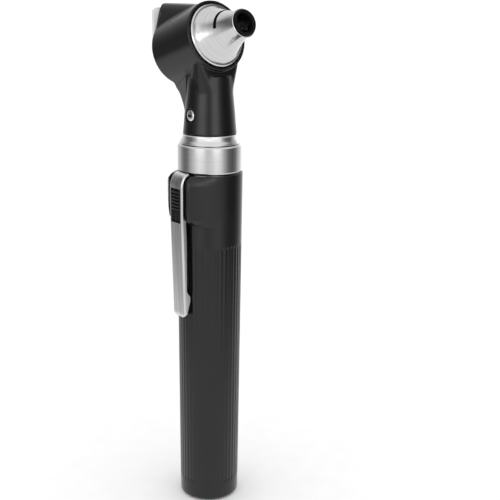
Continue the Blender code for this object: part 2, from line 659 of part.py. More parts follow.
def lens_outline(steps=5):
    """Half outline, +X side, of the swivelling plate about the sight axis: (x, height)."""
    half = [(0.0, -9.6), (2.6, -9.3), (4.6, -8.1), (6.2, -6.0), (7.6, -2.6), (8.3, 1.2), (8.2, 5.0)]
    corner = (5.5, 12.6)
    half.append((7.1, 11.2))
    for i in range(steps):
        angle = math.radians(15.0 + 75.0 * i / (steps - 1))
        half.append((corner[0] + 1.25 * math.cos(angle), corner[1] + 1.25 * math.sin(angle)))
    return half


def lens_parts(mats):
    rear = LENS_FRONT - LENS_THICK
    half = lens_outline()
    outline = half + [(-x, y) for x, y in reversed(half[1:])]
    plate = finish("lens_plate", prism(outline, rear, LENS_FRONT, "Z"), mats["acrylic"], FRAME)
    centre = 3.6
    eye = Matrix.Translation(sight_point(0.0, centre) * MM) @ Matrix.Rotation(math.radians(90 - TILT), 4, "X")
    pin = Matrix.Translation(sight_point(0.0, PIVOT_H) * MM) @ Matrix.Rotation(math.radians(90 - TILT), 4, "X")
    cut(plate, turned(rod_profile(6.3, rear - 1.0, LENS_FRONT + 1.0), 48), eye)
    cut(plate, turned(rod_profile(1.05, rear - 1.0, LENS_FRONT + 1.0), 20), pin)
    smooth(plate, 30.0)
    crown = [(6.0, LENS_FRONT), (6.0, rear)]
    for i in range(1, 6):
        angle = i / 6.0
        crown.append((6.0 * math.cos(angle * math.pi / 2), rear - 1.1 * math.sin(angle * math.pi / 2)))
    profile = [(0.0, LENS_FRONT)] + crown + [(0.0, rear - 1.1)]
    turned_part("magnifier_lens", profile, mats["lens"], 40, frame=eye)
    for name in ("lens_plate", "magnifier_lens"):
        move_origin(bpy.data.objects[name], sight_point(LENS_FRONT, PIVOT_H))
    washer = tube_profile(1.9, 1.05, rear - GAP - 0.35, rear - GAP)
    turned_part("lens_washer", washer, mats["spring"], 24, closed=True, frame=pin)
    seat = rear - GAP - 0.35 - GAP
    screw_profile = [(0.0, seat - 0.75), (1.35, seat - 0.7), (1.6, seat - 0.45), (1.6, seat), (0.7, seat),
                     (0.7, -BARREL_LENGTH + 4.2), (0.0, -BARREL_LENGTH + 4.2)]
    screw = finish("lens_screw", turned(screw_profile, 24), mats["chrome"], pin)
    cut(screw, block((-2.0, -0.2, seat - 2.0), (2.0, 0.2, seat - 0.4)), pin)
    smooth(screw, 30.0)


def main():
    clear_scene()
    mats = materials()
    handle_sleeve(mats)
    cell_top = handle_inside(mats)
    collar_parts(cell_top, mats)
    pocket_clip(mats)
    switch_parts(mats)
    neck_base(mats)
    lamp_parts(mats)
    head_shell(mats)
    neck_screw(mats)
    speculum_cone(mats)
    cone_seal(mats)
    sight_tube(mats)
    light_guide(mats)
    lens_parts(mats)


main()
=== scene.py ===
"""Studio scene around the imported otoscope: detailed pieces, materials, light and camera.

Lengths are in millimetres unless a name says otherwise, and MM turns them into metres. The sight
frame has its Z along the sight axis, towards the cone's end, and its Y above the axis.
"""
import itertools
import json
import math

import bmesh
import bpy
import numpy as np
from mathutils import Matrix, Vector


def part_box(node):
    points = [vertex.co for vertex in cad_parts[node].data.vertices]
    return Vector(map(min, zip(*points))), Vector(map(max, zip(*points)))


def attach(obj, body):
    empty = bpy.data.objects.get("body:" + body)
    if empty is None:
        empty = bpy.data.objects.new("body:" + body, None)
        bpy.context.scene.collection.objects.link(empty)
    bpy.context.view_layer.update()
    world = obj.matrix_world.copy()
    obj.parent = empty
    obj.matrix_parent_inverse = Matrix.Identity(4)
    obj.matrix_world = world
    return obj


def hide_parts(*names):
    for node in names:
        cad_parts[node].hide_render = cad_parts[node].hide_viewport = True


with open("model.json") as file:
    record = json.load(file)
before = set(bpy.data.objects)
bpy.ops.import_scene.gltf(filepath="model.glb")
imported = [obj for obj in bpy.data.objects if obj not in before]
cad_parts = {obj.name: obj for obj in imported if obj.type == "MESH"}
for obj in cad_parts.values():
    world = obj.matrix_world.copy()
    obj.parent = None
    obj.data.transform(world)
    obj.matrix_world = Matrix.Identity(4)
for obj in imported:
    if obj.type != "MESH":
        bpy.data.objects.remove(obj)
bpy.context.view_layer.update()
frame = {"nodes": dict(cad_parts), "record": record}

MM = 0.001
TURN = 2.0 * math.pi

# camera, in metres
CAMERA_AT = Vector((-0.1688, -0.2191, 0.1560))
AZIMUTH = math.radians(-40.2)
PITCH = math.radians(15.12)
ROLL = math.radians(0.79)
LENS = 66.67
SENSOR = 36.0

# sight frame
TILT = math.radians(17.2)
SIGHT = Vector((0.0, -3.28, 146.0))
FRAME = Matrix.Translation(SIGHT * MM) @ Matrix.Rotation(math.pi / 2 - TILT, 4, "X")

# handle
SLEEVE_TOP = 105.9
SLEEVE_R = (9.3, 10.0)         # outer radius at the foot and at the top
FLUTES = 42
FLUTE_DEPTH = 0.11
FLUTE_HALF = 0.62              # half width of a flute
FLUTE_Z = (6.4, 83.6)
BOSS_HALF = 4.9                # the boss under the clip: half width, then heights and reach there
BOSS_CURVE = 28.0              # radius of the boss's gently rounded flanks
BOSS_Z = (90.8, 91.8, 92.9, 96.0, 100.0, 103.3, 104.5, 105.4, 105.9)
BOSS_FACE = (8.6, 10.3, 11.8, 12.2, 12.5, 12.5, 12.1, 11.3, 10.3)
RECESS_FACE = 11.3             # floor of the clip's recess, which leans inwards above RECESS_TOP
RECESS_TOP = 102.2

# clip and switch
CLIP_HALF = 3.05
CLIP_SHEET = 0.4
CLIP_CORNER = 1.4              # radius of the corners of the clip's lower end
CLIP_FACE = 12.75              # reach of the clip's face, less by CLIP_SLOPE below CLIP_FLAT_Z
CLIP_SLOPE = 0.0364
CLIP_FLAT_Z = 92.0
CLIP_Z = (62.0, 106.5)
WINDOW_HALF = 2.35
WINDOW_Z = (91.7, 102.0)
SLIDER_Z = (95.4, 101.6)
KNOB_FACE = 13.1
RIBS = 6

# head
BARREL_R = 10.25
BARREL_LENGTH = 19.0
NECK_Z = (117.5, 120.0, 124.0, 129.5, 133.0, 134.5)
NECK_R = (8.05, 7.8, 7.48, 6.93, 6.7, 6.5)
ROOF_Y = (0.9, 24.0)           # front and rear of the head's flat roof, then its height there
ROOF_Z = (154.6, 154.85)
WEB_HALF = 5.8                 # half width of the rear web where y is WEB_MIDDLE
WEB_MIDDLE = 5.0
WEB_TAPER = 0.27               # how much the half width loses with each mm towards the rear
WEB_WIDEST = 6.2               # and where it stops growing
SOFTNESS = 0.15                # how far the gusset's facets melt into each other
SCREW_Z = 123.0
CONE_START = 0.9
CONE_END = 12.8
CONE_WALL = 0.6
SLOT_S = 6.3                   # place of the cone's slot along the sight axis
SLOT_HALF = 0.45
LENS_FRONT = -19.3             # faces of the lens plate along the sight axis
LENS_REAR = -20.4
PIVOT_H = -7.4                 # heights of its pivot and its lens above the sight axis
LENS_EYE_H = 3.6


# ---------------------------------------------------------------- camera, light and floor

def add_object(name, data):
    obj = bpy.data.objects.new(name, data)
    bpy.context.scene.collection.objects.link(obj)
    return obj


def add_camera():
    away = Vector((-math.sin(AZIMUTH), math.cos(AZIMUTH), 0.0))
    right = Vector((math.cos(AZIMUTH), math.sin(AZIMUTH), 0.0))
    look = away * math.cos(PITCH) - Vector((0.0, 0.0, math.sin(PITCH)))
    up = right.cross(look)
    side = right * math.cos(ROLL) + up * math.sin(ROLL)
    top = up * math.cos(ROLL) - right * math.sin(ROLL)
    data = bpy.data.cameras.new("camera")
    data.lens = LENS
    data.sensor_width = SENSOR
    data.clip_start = 0.01
    camera = add_object("camera", data)
    matrix = Matrix((side, top, -look)).transposed().to_4x4()
    matrix.translation = CAMERA_AT
    camera.matrix_world = matrix
    bpy.context.scene.camera = camera


class Nodes:
    """Builds one node tree; every method returns an output socket."""

    def __init__(self, tree):
        self.tree = tree

    def add(self, kind, *inputs, **settings):
        """A node with its settings, and its inputs in order: a socket is linked, a value is set."""
        node = self.tree.nodes.new("ShaderNode" + kind)
        for key, value in settings.items():
            setattr(node, key, value)
        for slot, value in zip(node.inputs, inputs):
            self.feed(slot, value)
        return node

    def feed(self, slot, value):
        if isinstance(value, bpy.types.NodeSocket):
            self.tree.links.new(value, slot)
        elif value is not None:
            slot.default_value = value

    def math(self, operation, a, b):
        return self.add("Math", a, b, operation=operation).outputs[0]

    def span(self, value, low, high, to_low=0.0, to_high=1.0):
        """value from low..high to to_low..to_high, smoothly and without running past them."""
        node = self.add("MapRange", value, low, high, to_low, to_high, interpolation_type="SMOOTHSTEP")
        return node.outputs[0]

    def ramp(self, value, stops):
        """Grey ramp with (position, grey) stops."""
        node = self.add("ValToRGB", value)
        ramp = node.color_ramp
        for index, (position, grey) in enumerate(stops):
            if index < 2:
                element = ramp.elements[index]
                element.position = position
            else:
                element = ramp.elements.new(position)
            element.color = (grey, grey, grey, 1.0)
        return node.outputs[0]

    def mix(self, factor, a, b):
        node = self.add("Mix", data_type="RGBA")
        self.feed(node.inputs["Factor"], factor)
        for slot, value in (("A", a), ("B", b)):
            target = [s for s in node.inputs if s.name == slot and s.type == "RGBA"][0]
            self.feed(target, (*value, 1.0) if isinstance(value, tuple) else value)
        return [s for s in node.outputs if s.type == "RGBA"][0]

    def point(self, scale=(1.0, 1.0, 1.0)):
        """The object's own coordinates, in metres, stretched by scale."""
        place = self.add("TexCoord").outputs["Object"]
        node = self.add("Mapping", place)
        node.inputs["Scale"].default_value = scale
        return node.outputs[0]

    def point_about(self, axis, across, along):
        """The object's own coordinates, stretched by along down axis, a unit vector, and by across
        in the other directions."""
        place = self.add("TexCoord").outputs["Object"]
        rise = self.add("VectorMath", place, tuple(axis), operation="DOT_PRODUCT").outputs["Value"]
        lift = self.add("VectorMath", tuple(axis), operation="SCALE")
        self.feed(lift.inputs["Scale"], self.math("MULTIPLY", rise, along - across))
        base = self.add("VectorMath", place, operation="SCALE")
        base.inputs["Scale"].default_value = across
        return self.add("VectorMath", lift.outputs[0], base.outputs[0], operation="ADD").outputs[0]

    def noise(self, scale, stretch=(1.0, 1.0, 1.0), detail=3.0, roughness=0.5, place=None):
        node = self.add("TexNoise", place or self.point(stretch))
        node.inputs["Scale"].default_value = scale
        node.inputs["Detail"].default_value = detail
        node.inputs["Roughness"].default_value = roughness
        return node.outputs["Fac"]


def add_world():
    """Two soft boxes in front, dark gaps at the sides, a white backdrop behind, a white table below
    and a pale ceiling, as mirror-like rays see them. Other rays get the same light all round."""
    world = bpy.data.worlds.new("studio")
    world.use_nodes = True
    n = Nodes(world.node_tree)
    background = world.node_tree.nodes["Background"]
    direction = n.add("TexCoord").outputs["Generated"]
    towards = (math.sin(AZIMUTH), -math.cos(AZIMUTH), 0.0)
    right = (math.cos(AZIMUTH), math.sin(AZIMUTH), 0.0)
    ahead = n.add("VectorMath", direction, towards, operation="DOT_PRODUCT").outputs["Value"]
    aside = n.add("VectorMath", direction, right, operation="DOT_PRODUCT").outputs["Value"]
    height = n.add("SeparateXYZ", direction).outputs["Z"]
    around = n.math("MULTIPLY", n.math("ARCTAN2", aside, ahead), 1.0 / TURN)
    around = n.math("ADD", around, 0.5)
    # (degrees round from the camera's side, brightness): at eye level, just below it and above it
    level = [(-180, 0.95), (-160, 0.80), (-138, 0.62), (-122, 0.30), (-108, 0.14), (-86, 0.13),
             (-70, 0.30), (-56, 0.75), (-44, 1.80), (-24, 1.90), (-13, 1.05), (-1, 0.55), (10, 1.00),
             (18, 1.85), (36, 1.80), (47, 0.80), (60, 0.28), (74, 0.10), (94, 0.09), (108, 0.20),
             (122, 0.55), (138, 1.00), (156, 1.30), (180, 0.95)]
    low = [(-180, 0.95), (-150, 0.72), (-130, 0.56), (-114, 0.28), (-100, 0.16), (-84, 0.18),
           (-70, 0.44), (-54, 0.66), (-38, 0.94), (-24, 0.90), (-7, 0.66), (8, 0.72), (26, 0.94),
           (40, 0.84), (57, 0.42), (73, 0.15), (91, 0.09), (108, 0.18), (122, 0.48), (140, 0.76),
           (158, 1.10), (180, 0.95)]
    high = [(-180, 0.85), (-150, 0.80), (-125, 0.36), (-106, 0.14), (-86, 0.12), (-66, 0.35),
            (-50, 0.90), (0, 1.15), (50, 0.90), (64, 0.30), (80, 0.10), (100, 0.10), (122, 0.42),
            (150, 0.85), (180, 0.85)]
    # a ramp holds no more than 1, so the colours are halved and the strength doubled
    scale = 0.5
    shades = []
    for table in (level, low, high):
        stops = [(degrees / 360.0 + 0.5, value * scale) for degrees, value in table]
        shades.append(n.ramp(around, stops))
    pattern = n.mix(n.span(height, -0.13, 0.03), shades[1], shades[0])
    pattern = n.mix(n.span(height, 0.18, 0.36), pattern, shades[2])
    table = (0.87 * scale,) * 3
    ceiling = (0.80 * scale,) * 3
    pattern = n.mix(n.span(height, -0.47, -0.22), table, pattern)
    pattern = n.mix(n.span(height, 0.50, 0.80), pattern, ceiling)
    glossy = n.add("LightPath").outputs["Is Glossy Ray"]
    even = (1.12 * scale,) * 3
    colour = n.mix(glossy, even, pattern)
    n.feed(background.inputs["Color"], colour)
    background.inputs["Strength"].default_value = 1.0 / scale
    bpy.context.scene.world = world


def add_floor():
    size = 6.0
    mesh = bpy.data.meshes.new("floor")
    corners = [(-size, -size, 0.0), (size, -size, 0.0), (size, size, 0.0), (-size, size, 0.0)]
    mesh.from_pydata(corners, [], [(0, 1, 2, 3)])
    floor = add_object("floor", mesh)
    floor.location.z = -0.0002
    floor.visible_glossy = False
    material, n, shader = new_material("floor_white")
    paint(n, shader, (0.97, 0.97, 0.97), 0.85)
    shader.inputs["Specular IOR Level"].default_value = 0.0
    mesh.materials.append(material)


# ---------------------------------------------------------------- materials

def new_material(name):
    material = bpy.data.materials.new(name)
    material.use_nodes = True
    return material, Nodes(material.node_tree), material.node_tree.nodes["Principled BSDF"]


def coat(n, shader, colour, roughness):
    n.feed(shader.inputs["Base Color"], colour)
    n.feed(shader.inputs["Roughness"], roughness)


def paint(n, shader, colour, roughness, vary=0.06):
    """Base colour with slow, slight variation, and roughness that varies a little with it."""
    cloud = n.noise(140.0, detail=4.0)
    dark = tuple(c * (1.0 - vary) for c in colour)
    rough = n.span(cloud, 0.3, 0.7, roughness * 0.92, roughness * 1.08)
    coat(n, shader, n.mix(cloud, dark, colour), rough)


def emboss(n, shader, height, depth):
    """Bump of the given depth in metres from a height between 0 and 1."""
    bump = n.add("Bump")
    bump.inputs["Strength"].default_value = 1.0
    bump.inputs["Distance"].default_value = depth
    n.feed(bump.inputs["Height"], height)
    n.feed(shader.inputs["Normal"], bump.outputs[0])


def moulded(name, colour, roughness, grain=0.6e-6, level=0.5):
    """Moulded plastic: fine grain and faint long-wave unevenness."""
    material, n, shader = new_material(name)
    paint(n, shader, colour, roughness)
    shader.inputs["Specular IOR Level"].default_value = level
    fine = n.noise(9000.0, detail=2.0)
    slow = n.math("MULTIPLY", n.noise(350.0, detail=2.0), 2.0)
    emboss(n, shader, n.math("ADD", fine, slow), grain)
    return material


def turned_metal(name, colour, roughness, lines, depth, axis=(0.0, 0.0, 1.0)):
    """Metal turned on a lathe about axis: fine rings in its height and roughness, wider bands in
    its colour, and lines says how strong they are."""
    material, n, shader = new_material(name)
    shader.inputs["Metallic"].default_value = 1.0
    rings = n.noise(1.0, detail=4.0, roughness=0.65, place=n.point_about(axis, 25.0, 9000.0))
    bands = n.noise(1.0, detail=4.0, roughness=0.6, place=n.point_about(axis, 40.0, 1700.0))
    dark = tuple((1.0 - 0.16 * lines) * c for c in colour)
    rough = n.span(rings, 0.3, 0.7, roughness * (1.0 - lines), roughness * (1.0 + lines))
    coat(n, shader, n.mix(n.span(bands, 0.35, 0.65), dark, colour), rough)
    emboss(n, shader, rings, depth)
    return material


def brushed_metal(name, colour, roughness, stretch, depth):
    """Rolled sheet: long fine scratches, which stretch sets the direction of."""
    material, n, shader = new_material(name)
    shader.inputs["Metallic"].default_value = 1.0
    grain = n.noise(1.0, stretch, detail=5.0, roughness=0.6)
    streaks = n.noise(0.4, stretch, detail=3.0)
    dark = tuple(0.80 * c for c in colour)
    rough = n.span(grain, 0.25, 0.75, roughness * 0.8, roughness * 1.25)
    coat(n, shader, n.mix(n.span(streaks, 0.36, 0.62), dark, colour), rough)
    emboss(n, shader, grain, depth)
    return material


def clear(name, colour, roughness, ior):
    """Glass with a faint ripple."""
    material, n, shader = new_material(name)
    shader.inputs["Transmission Weight"].default_value = 1.0
    shader.inputs["IOR"].default_value = ior
    cloud = n.noise(300.0)
    rough = n.span(cloud, 0.3, 0.7, roughness * 0.9, roughness * 1.1 + 0.002)
    coat(n, shader, n.mix(cloud, tuple(c * 0.98 for c in colour), colour), rough)
    emboss(n, shader, n.noise(200.0), 1.0e-6)
    return material


def acrylic(name):
    """Pale frosted acrylic, lit from inside by the white around it."""
    material, n, shader = new_material(name)
    paint(n, shader, (0.90, 0.90, 0.90), 0.30, vary=0.03)
    shader.inputs["Transmission Weight"].default_value = 0.25
    shader.inputs["IOR"].default_value = 1.49
    emboss(n, shader, n.noise(5000.0), 1.2e-6)
    return material


def cell_wrap(name):
    """Battery sleeve: a dark body and a copper band at the end that bears the nub."""
    material, n, shader = new_material(name)
    place = n.add("SeparateXYZ", n.add("TexCoord").outputs["Object"]).outputs["Z"]
    cells = [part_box("battery_lower"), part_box("battery_upper")]
    band = 0.0
    for _, high in cells:
        start = n.math("GREATER_THAN", place, high.z - 0.0145)
        stop = n.math("LESS_THAN", place, high.z - 0.0017)
        band = n.math("ADD", band, n.math("MULTIPLY", start, stop))
    cloud = n.noise(400.0)
    body = n.mix(cloud, (0.020, 0.022, 0.028), (0.032, 0.034, 0.042))
    rough = n.span(cloud, 0.3, 0.7, 0.24, 0.34)
    coat(n, shader, n.mix(band, body, (0.55, 0.25, 0.10)), rough)
    n.feed(shader.inputs["Metallic"], n.math("MULTIPLY", band, 0.9))
    emboss(n, shader, n.noise(2500.0), 2.0e-6)
    return material


def fibre_glass(name):
    """Bundle of fibres: bright cores in a darker matrix."""
    material, n, shader = new_material(name)
    cells = n.add("TexVoronoi", n.point((1.0, 1.0, 0.1)))
    cells.inputs["Scale"].default_value = 9000.0
    core = n.ramp(cells.outputs["Distance"], [(0.25, 1.0), (0.5, 0.0)])
    rough = n.span(n.noise(3000.0), 0.3, 0.7, 0.30, 0.42)
    coat(n, shader, n.mix(core, (0.004, 0.004, 0.004), (0.022, 0.022, 0.021)), rough)
    emboss(n, shader, core, 3.0e-6)
    return material


def make_materials():
    sight = (0.0, -math.cos(TILT), math.sin(TILT))
    return {
        "black_plastic": moulded("black_plastic", (0.0050, 0.0050, 0.0052), 0.19),
        "switch_plastic": moulded("switch_plastic", (0.0032, 0.0032, 0.0034), 0.34),
        # inner_black is the sight tube's own black; it is also put on the cone's slot walls and the
        # neck screw's cross recess as painted shade.
        "inner_black": moulded("inner_black", (0.0045, 0.0045, 0.0046), 0.5, level=0.16),
        "satin_aluminium": turned_metal("satin_aluminium", (0.78, 0.78, 0.78), 0.13, 0.25, 0.6e-6),
        "cone_aluminium": turned_metal("cone_aluminium", (0.75, 0.75, 0.75), 0.17, 0.40, 1.3e-6, sight),
        "polished_steel": turned_metal("polished_steel", (0.88, 0.88, 0.88), 0.10, 0.20, 0.2e-6),
        "clip_steel": brushed_metal("clip_steel", (0.82, 0.82, 0.82), 0.20, (2600.0, 2600.0, 40.0),
                                    2.6e-6),
        "brass_contact": brushed_metal("brass_contact", (0.80, 0.58, 0.26), 0.28, (900.0,) * 3, 1.0e-6),
        "spring_steel": brushed_metal("spring_steel", (0.62, 0.62, 0.63), 0.24, (1800.0,) * 3, 1.0e-6),
        "cell_wrap": cell_wrap("cell_wrap"),
        "ceramic_white": moulded("ceramic_white", (0.80, 0.79, 0.75), 0.40, 2.0e-6),
        "lamp_glass": clear("lamp_glass", (0.97, 0.98, 0.98), 0.02, 1.5),
        "lens_glass": clear("lens_glass", (0.97, 0.98, 0.98), 0.01, 1.52),
        "frosted_acrylic": acrylic("frosted_acrylic"),
        "fibre_glass": fibre_glass("fibre_glass"),
        "seal_rubber": moulded("seal_rubber", (0.010, 0.010, 0.010), 0.65, 3.0e-6),
    }


# ---------------------------------------------------------------- placing pieces

def body_of(node):
    for body, nodes in frame["record"]["behaviour"]["bodies"].items():
        if node in nodes:
            return body
    raise ValueError(node)


def slot_of(node):
    for part in frame["record"]["subparts"]:
        if part["node"] == node:
            return part["material_slot"]
    raise ValueError(node)


def settle(obj, node, materials):
    """obj stands for the CAD node: its body, its slot and its material."""
    slot = slot_of(node)
    obj.data.materials.clear()
    obj.data.materials.append(materials[slot])
    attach(obj, body_of(node))
    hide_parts(node)


def shade(mesh, angle):
    """Smooth shading, but for edges sharper than angle, in degrees."""
    mesh.shade_smooth()
    mesh.set_sharp_from_angle(angle=math.radians(angle))


def make_object(name, bm, matrix=None, angle=35.0):
    """Turns bm, in mm, into an object with outward faces and smooth shading up to angle."""
    bmesh.ops.scale(bm, vec=(MM, MM, MM), verts=bm.verts)
    if matrix is not None:
        bm.transform(matrix)
    bmesh.ops.recalc_face_normals(bm, faces=bm.faces)
    mesh = bpy.data.meshes.new(name)
    bm.to_mesh(mesh)
    bm.free()
    obj = add_object(name, mesh)
    shade(mesh, angle)
    bpy.context.view_layer.update()
    return obj


def cut(obj, bm, matrix=None, angle=35.0):
    """Cuts bm, in mm, out of obj."""
    tool = make_object("cutter", bm, matrix)
    modifier = obj.modifiers.new("cut", "BOOLEAN")
    modifier.operation = "DIFFERENCE"
    modifier.solver = "EXACT"
    modifier.object = tool
    bpy.context.view_layer.update()
    graph = bpy.context.evaluated_depsgraph_get()
    mesh = bpy.data.meshes.new_from_object(obj.evaluated_get(graph))
    obj.modifiers.clear()
    obj.data = mesh
    bpy.data.objects.remove(tool, do_unlink=True)
    shade(mesh, angle)


# ---------------------------------------------------------------- meshes from profiles

def rounded(points, radius, steps=4, closed=True):
    """The polygon with each corner replaced by an arc of about radius, or less on a short side."""
    points = [Vector(p) for p in points]
    count = len(points)
    out = []
    for i, corner in enumerate(points):
        if not closed and i in (0, count - 1):
            out.append(tuple(corner))
            continue
        before, after = points[i - 1], points[(i + 1) % count]
        back, ahead = before - corner, after - corner
        if corner.x < 1e-6 or back.length < 1e-6 or ahead.length < 1e-6:
            out.append(tuple(corner))
            continue
        opening = back.angle(ahead)
        if opening > math.radians(172.0):
            out.append(tuple(corner))
            continue
        reach = min(radius / math.tan(opening / 2.0), 0.42 * back.length, 0.42 * ahead.length)
        start, stop = corner + back.normalized() * reach, corner + ahead.normalized() * reach
        for step in range(steps + 1):
            t = step / steps
            a, b = start.lerp(corner, t), corner.lerp(stop, t)
            out.append(tuple(a.lerp(b, t)))
    return out


def smooth_curve(points, steps):
    """Points along a smooth curve through points."""
    points = [np.array(p, float) for p in points]
    out = []
    for i in range(len(points) - 1):
        p0, p1, p2 = points[max(i - 1, 0)], points[i], points[i + 1]
        p3 = points[min(i + 2, len(points) - 1)]
        for step in range(steps):
            t = step / steps
            out.append(tuple(0.5 * (2 * p1 + (p2 - p0) * t + (2 * p0 - 5 * p1 + 4 * p2 - p3) * t ** 2
                                    + (3 * p1 - p0 - 3 * p2 + p3) * t ** 3)))
    out.append(tuple(points[-1]))
    return out


def lathe(profile, segments, closed=True):
    """Surface of revolution about Z from (radius, height) points; closed for a ring's section."""
    bm = bmesh.new()
    rings = []
    angles = [TURN * i / segments for i in range(segments)]
    for radius, height in profile:
        if radius < 1e-6:
            rings.append([bm.verts.new((0.0, 0.0, height))])
            continue
        spots = [(radius * math.cos(a), radius * math.sin(a), height) for a in angles]
        rings.append([bm.verts.new(spot) for spot in spots])
    pairs = list(zip(rings, rings[1:]))
    if closed:
        pairs.append((rings[-1], rings[0]))
    for lower, upper in pairs:
        if len(lower) == 1 and len(upper) == 1:
            continue
        for i in range(segments):
            j = (i + 1) % segments
            if len(lower) == 1:
                bm.faces.new((lower[0], upper[j], upper[i]))
            elif len(upper) == 1:
                bm.faces.new((lower[i], lower[j], upper[0]))
            else:
                bm.faces.new((lower[i], lower[j], upper[j], upper[i]))
    return bm


def loft(sections):
    """Closed mesh through equal-length rings of points, with flat ends."""
    bm = bmesh.new()
    rings = [[bm.verts.new(point) for point in ring] for ring in sections]
    count = len(rings[0])
    for lower, upper in zip(rings, rings[1:]):
        for i in range(count):
            j = (i + 1) % count
            bm.faces.new((lower[i], lower[j], upper[j], upper[i]))
    bm.faces.new(list(reversed(rings[0])))
    bm.faces.new(rings[-1])
    return bm


def bar(low, high):
    """Rectangular block between two opposite corners."""
    corners = ((low[1], low[2]), (high[1], low[2]), (high[1], high[2]), (low[1], high[2]))
    return loft([[Vector((x, y, z)) for y, z in corners] for x in (low[0], high[0])])


def slab(outline, levels):
    """Prism of a polygon along Z whose ends are rounded: levels are (height, inset) pairs."""
    count = len(outline)
    centre = Vector((sum(p[0] for p in outline) / count, sum(p[1] for p in outline) / count))
    sections = []
    for height, inset in levels:
        ring = []
        for p in outline:
            away = Vector(p) - centre
            shrunk = centre + away * max(0.0, 1.0 - inset / away.length)
            ring.append(Vector((shrunk.x, shrunk.y, height)))
        sections.append(ring)
    return loft(sections)


def edge_levels(low, high, radius, steps=3):
    """Levels for slab() that round both of its ends with radius."""
    levels = [(low + radius * (1.0 - math.cos(math.pi / 2 * i / steps)),
               radius * (1.0 - math.sin(math.pi / 2 * i / steps))) for i in range(steps + 1)]
    return levels + [(high - (height - low), inset) for height, inset in reversed(levels)]


# ---------------------------------------------------------------- meshes from distance fields

def round_and(a, b, radius):
    """Where both a and b hold, with a rounded edge."""
    u, v = np.maximum(a + radius, 0.0), np.maximum(b + radius, 0.0)
    return np.minimum(np.maximum(a, b), -radius) + np.hypot(u, v)


def round_or(a, b, radius):
    """Where a or b holds, with a fillet between them."""
    u, v = np.maximum(radius - a, 0.0), np.maximum(radius - b, 0.0)
    return np.maximum(np.minimum(a, b), radius) - np.hypot(u, v)


def cut_out(field, tool, radius):
    return round_and(field, -tool, radius)


def box_field(x, y, z, low, high):
    across, deep, tall = [np.maximum(a - v, v - b) for a, v, b in zip(low, (x, y, z), high)]
    return np.maximum(np.maximum(across, deep), tall)


def polygon_field(outline, u, v):
    """Signed distance to a polygon in the plane."""
    distance = np.full(u.shape, 1e9)
    sign = np.ones(u.shape)
    count = len(outline)
    for i in range(count):
        ax, ay = outline[i]
        bx, by = outline[i - 1]
        ex, ey = bx - ax, by - ay
        wx, wy = u - ax, v - ay
        t = np.clip((wx * ex + wy * ey) / (ex * ex + ey * ey), 0.0, 1.0)
        distance = np.minimum(distance, (wx - ex * t) ** 2 + (wy - ey * t) ** 2)
        above, before = v >= ay, v < by
        left = ex * wy > ey * wx
        flip = (above & before & left) | (~above & ~before & ~left)
        sign = np.where(flip, -sign, sign)
    return sign * np.sqrt(distance)


def surface(name, field, place, axes, wrap=False):
    """Object on field's zero surface, found on the grid of axes that place() turns into points.
    With wrap, the first axis runs once round and meets itself."""
    value = field(*place(*np.meshgrid(*axes, indexing="ij")))
    steps = [np.array(axis, float) for axis in axes]
    if wrap:
        value = np.concatenate([value, value[:1]], axis=0)
        steps[0] = np.append(steps[0], steps[0][0] + TURN)
    inside = value < 0.0
    cells_shape = tuple(n - 1 for n in inside.shape)

    def corner(c):
        return inside[tuple(slice(c[k], c[k] + cells_shape[k]) for k in range(3))]

    corners = list(itertools.product((0, 1), repeat=3))
    some = np.logical_or.reduce([corner(c) for c in corners])
    every = np.logical_and.reduce([corner(c) for c in corners])
    active = some & ~every
    cells = np.argwhere(active)
    number = np.full(cells_shape, -1)
    number[active] = np.arange(len(cells))
    total, count = np.zeros((len(cells), 3)), np.zeros(len(cells))
    for a in corners:
        for k in range(3):
            if a[k]:
                continue
            b = tuple(a[m] + (m == k) for m in range(3))
            va = value[tuple(cells[:, m] + a[m] for m in range(3))]
            vb = value[tuple(cells[:, m] + b[m] for m in range(3))]
            hit = (va < 0.0) != (vb < 0.0)
            t = np.where(hit, va / np.where(hit, va - vb, 1.0), 0.0)
            crossing = np.array(a, float) + t[:, None] * (np.arange(3) == k)
            total += crossing * hit[:, None]
            count += hit
    spots = cells + total / count[:, None]
    along = [np.interp(spots[:, k], np.arange(len(steps[k])), steps[k]) for k in range(3)]
    points = project(field, np.stack(place(*along), 1))
    faces = []
    for k in range(3):
        m, n = (k + 1) % 3, (k + 2) % 3
        lower = inside[tuple(slice(0, -1) if axis == k else slice(None) for axis in range(3))]
        upper = inside[tuple(slice(1, None) if axis == k else slice(None) for axis in range(3))]
        for outward in (True, False):
            edges = np.argwhere(lower & ~upper if outward else upper & ~lower)
            for axis in (m, n):
                if wrap and axis == 0:
                    edges = edges[edges[:, 0] < cells_shape[0]]
                else:
                    edges = edges[(edges[:, axis] >= 1) & (edges[:, axis] <= cells_shape[axis] - 1)]
            ring = []
            for dm, dn in ((1, 1), (0, 1), (0, 0), (1, 0)):
                at = edges.copy()
                at[:, m] -= dm
                at[:, n] -= dn
                if wrap:
                    at[:, 0] %= cells_shape[0]
                ring.append(number[at[:, 0], at[:, 1], at[:, 2]])
            faces.append(np.stack(ring if outward else ring[::-1], 1))
    faces = np.concatenate(faces)
    mesh = bpy.data.meshes.new(name)
    mesh.from_pydata((points * MM).tolist(), [], faces.tolist())
    bm = bmesh.new()
    bm.from_mesh(mesh)
    rims = [edge for edge in bm.edges if edge.is_boundary]
    bmesh.ops.holes_fill(bm, edges=rims, sides=0)
    bm.to_mesh(mesh)
    bm.free()
    obj = add_object(name, mesh)
    shade(mesh, 50.0)
    return obj


